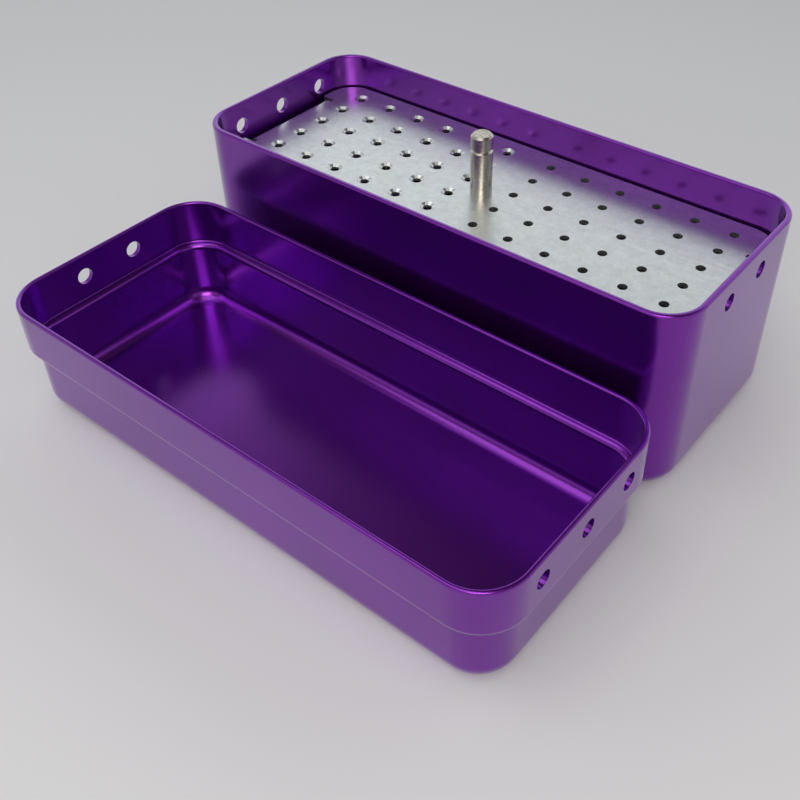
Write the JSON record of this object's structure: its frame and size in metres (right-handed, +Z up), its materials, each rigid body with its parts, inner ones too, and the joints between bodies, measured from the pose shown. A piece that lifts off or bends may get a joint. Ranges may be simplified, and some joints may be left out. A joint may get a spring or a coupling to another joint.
{
  "type": "sterilization container",
  "caption": "Oblong drawn aluminium sterilization box with a stepped lid beside it and a lift-out perforated instrument rack with a centre post.",
  "frame": {"origin": "centre of the flat underside of the base box", "axes": "+X along the length towards the end wall with two vents, +Y to the back, +Z up; the lid lies open side up on the -Y side"},
  "size_m": [0.1788, 0.1527, 0.0708],
  "materials": {
    "anodised_shell": "purple anodised, satin",
    "satin_sheet": "clear anodised, satin",
    "turned_steel": "turned stainless steel"
  },
  "bodies": {
    "base": {"base_box": "anodised_shell"},
    "rack": {"hole_plate": "satin_sheet", "stop_plate": "satin_sheet", "spacer_sleeve": "satin_sheet", "lifting_post": "turned_steel", "washer": "turned_steel", "post_screw": "turned_steel"},
    "lid": {"lid": "anodised_shell"}
  },
  "joints": [
    {"name": "rack_lift", "type": "slide", "parent": "base", "child": "rack", "axis": [0, 0, 1], "range_m": [0, 0.065]},
    {"name": "lid_lift", "type": "slide", "parent": "base", "child": "lid", "axis": [0, 0, 1], "range_m": [0, 0.1]}
  ]
}
